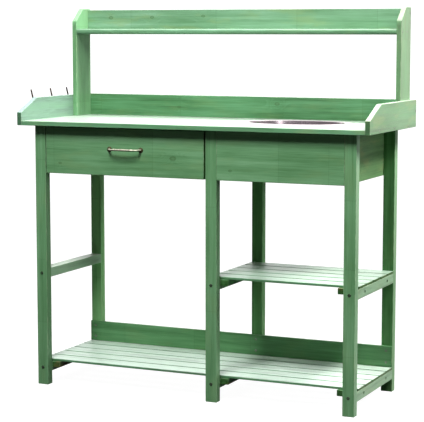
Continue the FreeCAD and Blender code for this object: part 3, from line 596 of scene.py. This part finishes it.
def section(low, high, radii, parts):
    """A rectangle with rounded corners: (a, b, outward a, outward b) for each point, in order."""
    corners = [(low[0] + radii[0], low[1] + radii[0], 180), (high[0] - radii[1], low[1] + radii[1], 270),
               (high[0] - radii[2], high[1] - radii[2], 0), (low[0] + radii[3], high[1] - radii[3], 90)]
    points = []
    for i, (a, b, start) in enumerate(corners):
        for k in range(4):
            angle = math.radians(start + 30 * k)
            points.append((a + radii[i] * math.cos(angle), b + radii[i] * math.sin(angle),
                           math.cos(angle), math.sin(angle)))
        way = i % 2
        after = corners[(i + 1) % 4]
        angle = math.radians(start + 90)
        from_a, from_b = points[-1][:2]
        to_a = after[0] + radii[(i + 1) % 4] * math.cos(angle)
        to_b = after[1] + radii[(i + 1) % 4] * math.sin(angle)
        length = math.hypot(to_a - from_a, to_b - from_b)
        edge = min(SUPPORT / length, 0.2)
        for share in (edge, *(k / parts[way] for k in range(1, parts[way])), 1 - edge):
            points.append((from_a + (to_a - from_a) * share, from_b + (to_b - from_b) * share,
                           math.cos(angle), math.sin(angle)))
    return points


def timber(node, rounds=(EDGE, EDGE, EDGE, EDGE), limits=None, creases=()):
    """A board's mesh: a softly uneven surface that never leaves the CAD solid, edges that are
    rounded more here and less there, and a few dents. rounds gives the four edges' radii in
    millimetres. limits gives the section's range along its second axis at a place along the
    grain, for a board with a slanting edge, and creases the places where that edge turns."""
    low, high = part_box(node)
    grain = grain_of(node)
    first, second = (i for i in range(3) if i != grain)
    length = high[grain] - low[grain]
    shift = Vector((seed_of(node) * 71, seed_of(node) * 133, seed_of(node) * 29))
    parts = [max(1, round((high[i] - low[i]) / STEP_ACROSS)) for i in (first, second)]
    stops = [(0.0, END_ROUND + SUPPORT)]
    for turn in (0, math.pi / 6, math.pi / 3, math.pi / 2):
        stops.append((END_ROUND * (1 - math.cos(turn)), END_ROUND * (1 - math.sin(turn))))
    stops.append((END_ROUND + SUPPORT, 0.0))
    steps = round(length / STEP_ALONG)
    inner = [k / steps * length for k in range(1, steps)]
    inner = [t for t in inner if all(abs(t - c) > 0.004 for c in creases)]
    inner += [c + d for c in creases for d in (-CREASE_WIDTH, CREASE_WIDTH)]
    stations = stops + [(t, 0.0) for t in sorted(inner)]
    stations += [(length - t, inset) for t, inset in reversed(stops)]
    rings = []
    for t, inset in stations:
        near, far = limits(t) if limits else (low[second], high[second])
        radii = []
        for corner, base in enumerate(rounds):
            wander = noise.noise(Vector((t * WANDERS_PER_METRE, corner * 9.1, 0)) + shift)
            nick = noise.noise(Vector((t * NICKS_PER_METRE, corner * 5.3, 8)) + shift)
            nick = max(0.0, nick - NICK_FROM) * NICK_DEEP
            radii.append(max((base * (1 + WANDER * wander) + nick) * MM - inset, LEAST_ROUND))
        ring = []
        low_corner, high_corner = (low[first] + inset, near + inset), (high[first] - inset, far - inset)
        for a, b, out_a, out_b in section(low_corner, high_corner, radii, parts):
            spot = Vector((0, 0, 0))
            spot[grain], spot[first], spot[second] = low[grain] + t, a, b
            feel = Vector(spot)
            feel = Vector([feel[i] * (HOLLOWS_ALONG if i == grain else HOLLOWS_ACROSS) for i in range(3)])
            feel += shift
            sunk = RELIEF * (0.5 + 0.5 * noise.noise(feel))
            spot[first] -= out_a * sunk
            spot[second] -= out_b * sunk
            ring.append(spot)
        rings.append(ring)
    return as_mesh(node + "_timber", skin(rings))


def panel_limits(node):
    """The side panel's top edge slopes up from a low nose."""
    low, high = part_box(node)
    nose, rise = low.z + PANEL_NOSE, PANEL_SLOPE_TALL / PANEL_SLOPE_LONG
    return (lambda t: (low.z, min(high.z, nose + t * rise))), (PANEL_SLOPE_LONG,)


def upright_limits(node):
    """The upright's front edge is cut back towards its top."""
    low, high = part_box(node)
    start, lean = high.z - low.z - UPRIGHT_CUT_TALL, UPRIGHT_CUT_DEEP / UPRIGHT_CUT_TALL
    return (lambda t: (low.y + max(0.0, t - start) * lean, high.y)), (start,)


def nut_holes(node):
    """Cutters for the barrel-nut holes in the outer face of a rail."""
    low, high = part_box(node)
    from_right = node.endswith("right")
    face = high.x if from_right else low.x
    way = (-1, 0, 0) if from_right else (1, 0, 0)
    middle = (low.z + high.z) / 2
    outline = [(0, -0.002), (NUT_HOLE_RADIUS, -0.002), (NUT_HOLE_RADIUS, NUT_HOLE_DEEP), (0, NUT_HOLE_DEEP)]
    places = (low.y + NUT_HOLE_FROM_END, high.y - NUT_HOLE_FROM_END)
    return as_mesh("cutter", *(lathe(outline, (face, y, middle), way, 32) for y in places))


def basin_hole():
    """A cutter for the oval hole in the worktop."""
    low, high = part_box("sink_basin")
    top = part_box("worktop")[1].z
    centre = ((low.x + high.x) / 2, (low.y + high.y) / 2, top)
    outline = [(0, -0.03), (BASIN_HOLE_LONG, -0.03), (BASIN_HOLE_LONG, 0.01), (0, 0.01)]
    hole = lathe(outline, centre, (0, 0, 1), 128, lambda radius: BASIN_HOLE_WIDE / BASIN_HOLE_LONG)
    return as_mesh("cutter", hole)


def dress(node, material):
    """Give a CAD node a material."""
    mesh = NODES[node].data
    mesh.materials.clear()
    mesh.materials.append(material)


# What single boards show, in the words of wood().
COOL = (0.94, 1.0, 1.10)
# A greener tint for the back legs, which paints the colour of the shade under the worktop.
BACK_SHADE_TINT = (0.90, 1.05, 0.82)
PALE_GREEN = (0.52, 0.88, 0.48)
PANEL_END = (0.20, 0.42, 0.22)
# In these notes the paling of the faces that look up is partly faded stain and partly painted light from
# above, and the paling of the faces that look right is painted light.
NOTES = {
    "worktop": {"level": 0.44, "top_fade_and_light": 0.54, "olive": 0.3, "worn": 0.2, "tint": COOL},
    "side_panel_left": {"level": 0.40, "wash": 0.18, "top_fade_and_light": 0.2, "pale": (0.60, 0.67, 0.80),
                        "tint": (1.0, 0.91, 1.07), "end_tint": PANEL_END},
    "side_panel_right": {"level": 0.32, "wash": 0.19, "top_fade_and_light": 0.3, "olive": 0.4, "blocks": 0.2,
                         "pale": (0.64, 0.66, 0.60), "end_tint": PANEL_END},
    "top_backboard": {"knots": ((-0.478, 0.0146, 0.006), (-0.321, 0.016, 0.005), (-0.131, 0.0195, 0.005)),
                      "level": 0.46, "olive": 0.3, "tint": (1.13, 0.98, 1.22)},
    "top_shelf": {"level": 0.42, "top_fade_and_light": 0.2, "tint": (1.04, 0.97, 1.2)},
    "upstand": {"knots": ((0.130, 0.013, 0.006), (-0.228, -0.004, 0.005)),
                "level": 0.30, "tint": (0.92, 1.0, 1.06)},
    "upright_left": {"top_fade_and_light": 0.3, "right": 0.11, "pale": (0.56, 0.82, 0.56)},
    "upright_right": {"level": 0.25, "wash": 0.06, "top_fade_and_light": 0.3, "right": 0.11,
                      "pale": (0.66, 0.62, 0.56)},
    "apron_front": {"knots": ((-0.163, -0.046, 0.004),), "level": 0.46},
    # The right side apron is stained darker: painted shade under the side overhang.
    "apron_side_right": {"level": 0.31, "wash": 0.07, "olive": 0.45, "gloss": 0.1,
                         "tint": (1.05, 1.0, 0.78)},
    "drawer_front": {"knots": ((0.1745, -0.0128, 0.0075), (-0.229, -0.041, 0.004))},
    "rear_board": {"level": 0.46, "tint": (0.86, 1.0, 0.88)},
    # The middle left rail is stained lighter, as painted light on a rail in the worktop's shade. The other
    # rails get painted shade on their tops.
    "rail_mid_left": {"level": 1.0, "wash": 0.2, "top_fade_and_light": 0.75, "pale": (0.62, 0.78, 0.62)},
    "rail_mid_right": {"wash": 0.27, "olive": 0.3, "worn": 0.7, "gap_shade": 0.9},
    "rail_low_right": {"wash": 0.29, "olive": 0.3, "worn": 0.7, "gap_shade": 0.9},
}
# Painted shade on these rails' tops, in the gaps between the slats.
for node in ("rail_mid_middle", "rail_low_middle", "rail_low_left"):
    NOTES[node] = {"gap_shade": 0.9}
# The slats are paled on their tops, the low shelf's more than the middle shelf's: partly faded stain,
# partly painted light.
for shelf, top_fade_and_light, green in (("low", 1.0, 0.78), ("mid", 0.42, 0.72)):
    for number in range(1, 6):
        NOTES["%s_shelf_slat_%d" % (shelf, number)] = {
            "level": 0.36, "top_fade_and_light": top_fade_and_light, "contrast": 1.7, "worn": 0.2, "tint": COOL,
            "pale": (0.62, green, 0.66), "end_tint": (0.55, 0.38, 0.20)}
NOTES["low_shelf_slat_2"]["knots"] = ((0.391, -0.002, 0.005),)
# The cleats are dark: partly raw unstained wood, partly painted shade under the shelves.
for node in ("mid_shelf_cleat_left", "mid_shelf_cleat_right", "low_shelf_cleat_left",
             "low_shelf_cleat_middle", "low_shelf_cleat_right"):
    NOTES[node] = {"level": 0.15, "olive": 0.8, "thin": (0.17, 0.15, 0.06), "worn": 0.2, "gloss": 0.2}
# The legs' right-facing faces are paled as painted light, more towards the right of the bench. The back
# legs take a tint that paints the colour of the shade under the worktop.
for place, front, back, pale in (("left", 0.08, 0.10, PALE_GREEN), ("middle", 0.16, 0.18, PALE_GREEN),
                                 ("right", 0.19, 0.21, PALE_GREY)):
    NOTES["leg_front_" + place] = {"right": front, "pale": pale}
    NOTES["leg_back_" + place] = {"right": back, "pale": pale, "tint": BACK_SHADE_TINT, "gloss": 0.2}
# Painted light and shade: the back left leg is stained lighter and greener, and the back right leg darker,
# as the worktop's shade falls on them.
NOTES["leg_back_left"].update(level=1.0, tint=(0.88, 1.16, 0.78))
NOTES["leg_back_right"].update(level=0.4)
GROOVED = ("drawer_side_left", "drawer_side_right", "drawer_bottom")

for node, slot in SLOT_OF.items():
    low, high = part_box(node)
    if slot == "green_wood":
        finish = wood("look_" + node, low, high, grain_of(node), **NOTES.get(node, {}))
    elif slot in ("bare_pine", "plywood"):
        finish = wood("look_" + node, low, high, grain_of(node), PINE, level=0.55, worn=0.2, olive=0.0)
    elif slot == "zinc_plate":
        finish = BOLT if node == "frame_bolts" else ZINC
    else:
        continue
    if slot == "zinc_plate" or node in GROOVED:
        dress(node, finish)
        continue
    if "side_panel" in node:
        limits, creases = panel_limits(node)
        mesh = timber(node, limits=limits, creases=creases)
    elif "upright" in node:
        limits, creases = upright_limits(node)
        mesh = timber(node, limits=limits, creases=creases)
    elif node == "top_shelf":
        mesh = timber(node, (SHELF_NOSE, EDGE, EDGE, SHELF_NOSE))
    elif node == "worktop":
        mesh = carve(timber(node), basin_hole())
    elif node.startswith("rail"):
        mesh = carve(timber(node), nut_holes(node))
    else:
        mesh = timber(node)
    stand_in(node + "_timber", mesh, finish, node)


# ---------------------------------------------------------------- handle, hooks and basin
def handle():
    """A bow handle: a bar that swells in its middle, with a bead near each end, on two stepped
    round feet. The bar leaves each foot at an angle, turns through an elbow, and then arches
    slightly to its middle."""
    low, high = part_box("drawer_handle")
    foot, bar = 8.5 * MM, 3.75 * MM
    middle, face, level = (low.x + high.x) / 2, high.y, (low.z + high.z) / 2
    half = (high.x - low.x) / 2 - foot
    reach = high.y - low.y - bar
    sunk, elbow, lean, arch = 3 * MM, 10 * MM, math.radians(66), math.radians(8)
    flat = math.tan(arch / 2)
    elbow_across = elbow * (math.sin(lean) - math.sin(arch))
    elbow_out = elbow * (math.cos(arch) - math.cos(lean))
    straight = reach - sunk - elbow_out - (half - elbow_across) * flat
    straight /= math.sin(lean) - math.cos(lean) * flat
    marks = [Vector((-half, -sunk, 0))]

    def walk(first, last, length, steps):
        """Go on for a length while the direction turns from first to last."""
        for k in range(steps):
            angle = first + (last - first) * (k + 0.5) / steps
            marks.append(marks[-1] + Vector((math.cos(angle), -math.sin(angle), 0)) * (length / steps))

    walk(lean, lean, straight, 6)
    walk(lean, arch, elbow * (lean - arch), 12)
    walk(arch, 0, -marks[-1].x / math.sin(arch) * arch, 30)
    marks += [Vector((-spot.x, spot.y, 0)) for spot in marks[-2::-1]]
    path = [Vector((middle, face, level)) + spot for spot in marks]
    thin, swell, bead_tall, root_tall = 2.75, 0.95, 0.9, 1.0
    bead_at, bead_wide, root_wide = 0.55, 0.035, 0.09
    radii = []
    for spot in marks:
        share = abs(spot.x) / half
        bead = math.exp(-((share - bead_at) / bead_wide) ** 2)
        root = math.exp(-((1 - share) / root_wide) ** 2)
        belly = math.cos(math.pi / 2 * share) ** 2
        radii.append((thin + swell * belly + bead_tall * bead + root_tall * root) * MM)
    outline = [(0, 0), (8.5, 0), (8.5, 0.7), (8.2, 1.2), (7.6, 1.5), (6.9, 1.6), (6.7, 2.0), (6.4, 2.5),
               (5.8, 2.8), (5.4, 3.0), (5.2, 3.4), (4.6, 3.75), (3.6, 3.8), (0, 3.8)]
    outline = [(radius * MM, height * MM) for radius, height in outline]
    feet = [lathe(outline, (middle + x, face, level), (0, -1, 0), 48) for x in (-half, half)]
    bow = tube(path, radii, Vector((0, 0, 1)), 28)
    stand_in("handle_bow", as_mesh("handle_bow", bow, *feet), BRASS, "drawer_handle")


def hooks():
    """Three rods screwed into the left side panel. Each bends up in a quarter turn and leans out."""
    low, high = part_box("tool_hooks")
    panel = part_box("side_panel_left")[0].x
    rod, collar, bend, lean, uneven = 2.5 * MM, 6 * MM, 6 * MM, math.radians(14), 8 * MM
    screw_deep, screw_point = 4 * MM, 0.6
    shank, tip = low.z + collar, high.z - rod
    up = Vector((-math.sin(lean), 0, math.cos(lean)))
    corner_x = low.x + rod + (tip - shank) * math.tan(lean)
    cut = bend * math.tan((math.pi / 2 - lean) / 2)
    shells = []
    for y in (low.y + collar, (low.y + high.y) / 2 + uneven, high.y - collar):
        corner = Vector((corner_x, y, shank))
        start, finish = corner + Vector((cut, 0, 0)), corner + up * cut
        centre = start + Vector((0, 0, bend))
        arc = [centre + Vector((-math.sin(a), 0, -math.cos(a))) * bend
               for a in (k / 8 * (math.pi / 2 - lean) for k in range(9))]
        path = [Vector((high.x, y, shank)), Vector((panel + screw_deep, y, shank)), *arc]
        last = corner + up * ((tip - shank) / math.cos(lean))
        path += [finish.lerp(last, k / 4) for k in range(1, 5)]
        radii = [rod * screw_point] + [rod] * (len(path) - 1)
        for angle in (25, 45, 62, 78):
            path.append(last + up * (rod * math.sin(math.radians(angle))))
            radii.append(rod * math.cos(math.radians(angle)))
        shells.append(tube(path, radii, Vector((0, 1, 0)), 24))
        rim = [(0, 0), (collar, 0), (collar, 0.7 * MM), (collar * 0.93, 1.2 * MM),
               (collar * 0.8, 1.45 * MM), (0, 1.5 * MM)]
        shells.append(lathe(rim, (panel, y, shank), (-1, 0, 0), 36))
    stand_in("hook_rods", as_mesh("hook_rods", *shells), BRONZE, "tool_hooks")


def basin():
    """An oval pressed bowl with a flat rim, a rolled lip, and a round drain with crossed bars."""
    low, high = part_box("sink_basin")
    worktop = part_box("worktop")[1].z
    centre = Vector(((low.x + high.x) / 2, (low.y + high.y) / 2, worktop))
    rim = (high.x - low.x) / 2
    mouth = rim - 27 * MM
    floor_flat, bend_wide, bend_tall, bend_turn = 99 * MM, 37.2 * MM, 44 * MM, 70.2
    oval = (high.y - low.y) / 2 / rim
    deep = worktop - low.z
    wall, lip = 1.5 * MM, high.z - worktop
    knee_in, knee_down = 6.6 * MM, 20 * MM
    round_within, turns_oval = 24 * MM, 50 * MM
    drain_hole, floor_middle, floor_outer = 22 * MM, 40 * MM, 70 * MM
    bar_reach, bar_thick = 12.3 * MM, 0.8 * MM

    def narrow(radius):
        """Round next to the drain, and the full oval further out."""
        share = min(1.0, max(0.0, (radius - round_within) / turns_oval))
        return 1 + (oval - 1) * share * share * (3 - 2 * share)

    def arc(at_r, at_z, wide, tall, first, last, count):
        """Points on an ellipse about (at_r, at_z), from one angle to another."""
        angles = [math.radians(first + (last - first) * k / count) for k in range(count + 1)]
        return [(at_r + wide * math.cos(a), at_z + tall * math.sin(a)) for a in angles]

    def curve(extra, under):
        """From the flat floor round into the wall, which then rises straight to the mouth."""
        angles = [math.radians(bend_turn * k / 14) for k in range(15)]
        return [(floor_flat + (bend_wide + extra) * math.sin(a), under + bend_tall * (1 - math.cos(a)))
                for a in angles]

    floor = -deep + wall
    inside = [(drain_hole, floor), (floor_middle, floor + 0.2 * MM), (floor_outer, floor + 0.4 * MM)]
    inside += curve(0.0, floor + 0.4 * MM)
    inside += [(mouth - knee_in, -knee_down), (mouth - 0.4 * MM, -0.8 * MM)]
    inside += arc(mouth + 1.4 * MM, lip - 1.4 * MM, 1.4 * MM, 1.4 * MM, 175, 95, 5)
    inside += [(mouth + 6 * MM, lip - 0.1 * MM), (rim - 6 * MM, lip - 0.1 * MM)]
    inside += arc(rim - 1.3 * MM, lip - 1.1 * MM, 1.3 * MM, 1.1 * MM, 95, 0, 5)
    outside = [(rim - 0.1 * MM, 0.0), (mouth + 3.4 * MM, 0.0), (mouth + wall, -1.6 * MM),
               (mouth - knee_in + wall, -knee_down)]
    outside += curve(wall, -deep)[::-1]
    outside += [(floor_outer, -deep), (floor_middle, -deep), (drain_hole, -deep)]
    bowl = lathe(inside + outside, centre, (0, 0, 1), 160, narrow)
    drain = [(22.5, 0.25), (22.5, 1.0), (21.8, 1.5), (20.5, 1.6), (14, 0.9), (12.4, 0.2), (12, -1.4),
             (21.9, -1.45), (21.9, 0.2)]
    drain = lathe([(r * MM, floor + z * MM) for r, z in drain], centre, (0, 0, 1), 64)
    bars = []
    for k in range(3):
        way = Vector((math.cos(math.pi * k / 3), math.sin(math.pi * k / 3), 0))
        spot = centre + Vector((0, 0, floor - 0.3 * MM))
        line = [spot + way * (share * bar_reach) for share in (-1, -0.5, 0, 0.5, 1)]
        bars.append(tube(line, [bar_thick] * len(line), Vector((0, 0, 1)), 10))
    hub = [(0, -1.2), (3.4, -1.2), (3.6, 0.4), (2.8, 1.1), (0, 1.3)]
    hub = lathe([(r * MM, z * MM) for r, z in hub], centre + Vector((0, 0, floor)), (0, 0, 1), 32)
    stand_in("basin_bowl", as_mesh("basin_bowl", bowl, drain, hub, *bars), STEEL, "sink_basin")


handle()
hooks()
basin()

# ---------------------------------------------------------------- floor
# A white floor that glows for the camera and turns plain white away from the bench, like a
# studio sweep. It gives the bench less light than it shows, so the bench keeps its shadows.
FLOOR_SIZE = 20
GLOW_NEAR, GLOW_FAR_EXTRA = 0.975, 0.16
look = Look("look_floor")
ray = look.tree.nodes.new("ShaderNodeLightPath")
place = look.where.outputs["Object"]
fine = look.noise(place, 3.0, 3.0)
far = look.smooth(look.vector("LENGTH", place), 0.7, 1.5)
near = look.mix(look.smooth(fine, 0.3, 0.7), (0.17, 0.17, 0.169), (0.19, 0.19, 0.189))
near = look.mix(far, near, (0, 0, 0))
paint = look.mix(ray.outputs["Is Diffuse Ray"], near, (0.045, 0.047, 0.043))
look.put(look.shader.inputs["Base Color"], paint)
look.put(look.shader.inputs["Emission Color"], (1, 1, 1))
glow = look.math("MULTIPLY_ADD", far, GLOW_FAR_EXTRA, GLOW_NEAR)
look.put(look.shader.inputs["Emission Strength"], look.math("MULTIPLY", ray.outputs["Is Camera Ray"], glow))
look.shader.inputs["Roughness"].default_value = 0.9
look.shader.inputs["Specular IOR Level"].default_value = 0.0
mesh = bpy.data.meshes.new("floor")
corners = [(x * FLOOR_SIZE, y * FLOOR_SIZE, 0) for x, y in ((-1, -1), (1, -1), (1, 1), (-1, 1))]
mesh.from_pydata(corners, [], [(0, 1, 2, 3)])
mesh.materials.append(look.material)
floor = bpy.data.objects.new("floor", mesh)
bpy.context.scene.collection.objects.link(floor)

bpy.context.view_layer.update()
